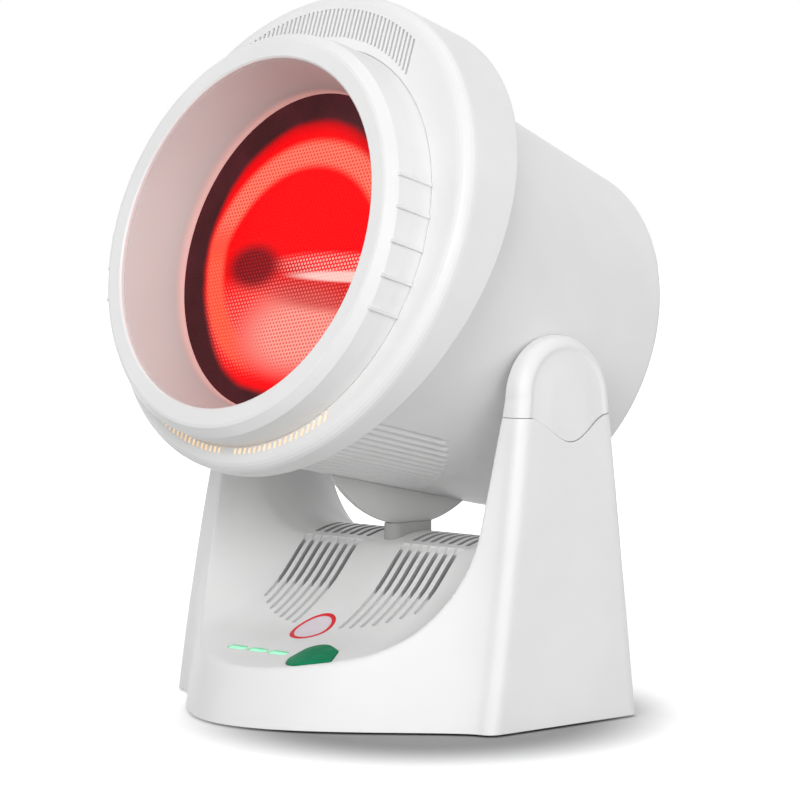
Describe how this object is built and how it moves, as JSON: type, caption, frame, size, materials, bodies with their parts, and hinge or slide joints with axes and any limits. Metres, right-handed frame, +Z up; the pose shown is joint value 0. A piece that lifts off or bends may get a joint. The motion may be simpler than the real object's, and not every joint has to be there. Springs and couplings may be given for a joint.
{
  "type": "infrared heat lamp",
  "caption": "Tabletop infrared heat therapy lamp: hooded round head with a red glass filter, tilting in a forked base with a sunk control panel, light bars and a push button.",
  "frame": {"origin": "on the floor under the middle of the whole lamp's bounding box, with the head at its rest tilt", "axes": "+Z up, -Y towards the front where the glass and the controls are, +X along the tilt axis to the viewer's right when looking at the front"},
  "size_m": [0.21, 0.2121, 0.3047],
  "materials": {
    "shell_white": "satin white moulding",
    "plate_white": "satin pale moulding",
    "liner_pale": "satin pale moulding",
    "joint_grey": "satin grey moulding",
    "bush_nylon": "plain nylon",
    "foot_rubber": "soft matt",
    "gasket_rubber": "soft matt",
    "dark_plastic": "fine grain",
    "screw_steel": "zinc plated",
    "sheet_steel": "pressed sheet",
    "sheet_aluminium": "bright sheet",
    "red_glass": "deep red patterned",
    "tube_glass": "clear quartz",
    "ceramic": "unglazed white",
    "inlay_red": "gloss",
    "inlay_white": "gloss",
    "light_green": "frosted clear",
    "button_green": "fine grain",
    "board_green": "lacquered board",
    "relay_blue": "moulded case",
    "capacitor_gold": "sleeved can"
  },
  "bodies": {
    "base": {"base_shell": "shell_white", "base_plate": "plate_white", "foot_front_left": "foot_rubber", "foot_front_right": "foot_rubber", "foot_rear_left": "foot_rubber", "foot_rear_right": "foot_rubber", "plate_screws": "screw_steel", "arm_cap_left": "shell_white", "arm_cap_right": "shell_white", "yoke_bracket_left": "sheet_steel", "yoke_bracket_right": "sheet_steel", "bracket_screws": "screw_steel", "pivot_bush_left": "bush_nylon", "pivot_bush_right": "bush_nylon", "guide_post": "joint_grey", "friction_pad_left": "gasket_rubber", "friction_pad_right": "gasket_rubber", "inlay_ring": "inlay_red", "inlay_disc": "inlay_white", "light_bar_left": "light_green", "light_bar_middle": "light_green", "light_bar_right": "light_green", "control_board": "board_green", "button_switch": "dark_plastic", "power_board": "board_green", "relay": "relay_blue", "capacitor": "capacitor_gold", "heat_sink": "sheet_aluminium", "terminal_block": "board_green", "cord_gland": "dark_plastic"},
    "head": {"front_ring": "shell_white", "hood": "shell_white", "hood_liner": "liner_pale", "glass_filter": "red_glass", "glass_gasket": "gasket_rubber", "glass_frame": "sheet_steel", "reflector": "sheet_aluminium", "halogen_tube": "tube_glass", "tube_holder_left": "ceramic", "tube_holder_right": "ceramic", "drum_housing": "shell_white", "drum_screws": "screw_steel", "rear_grille": "shell_white", "heat_shield": "sheet_aluminium", "thermal_cutout": "dark_plastic", "guide_fin": "joint_grey", "trunnion_left": "joint_grey", "trunnion_right": "joint_grey", "thrust_washer_left": "bush_nylon", "thrust_washer_right": "bush_nylon"},
    "button": {"push_button": "button_green"}
  },
  "joints": [
    {"name": "head_tilt", "type": "hinge", "parent": "base", "child": "head", "pos_m": [0, 0.0137, 0.1367], "axis": [-1, 0, 0], "range_deg": [-20, 14]},
    {"name": "power_press", "type": "slide", "parent": "base", "child": "button", "axis": [0, 0.2857, -0.9583], "range_m": [0, 0.0012], "stiffness_N_per_m": 400}
  ]
}
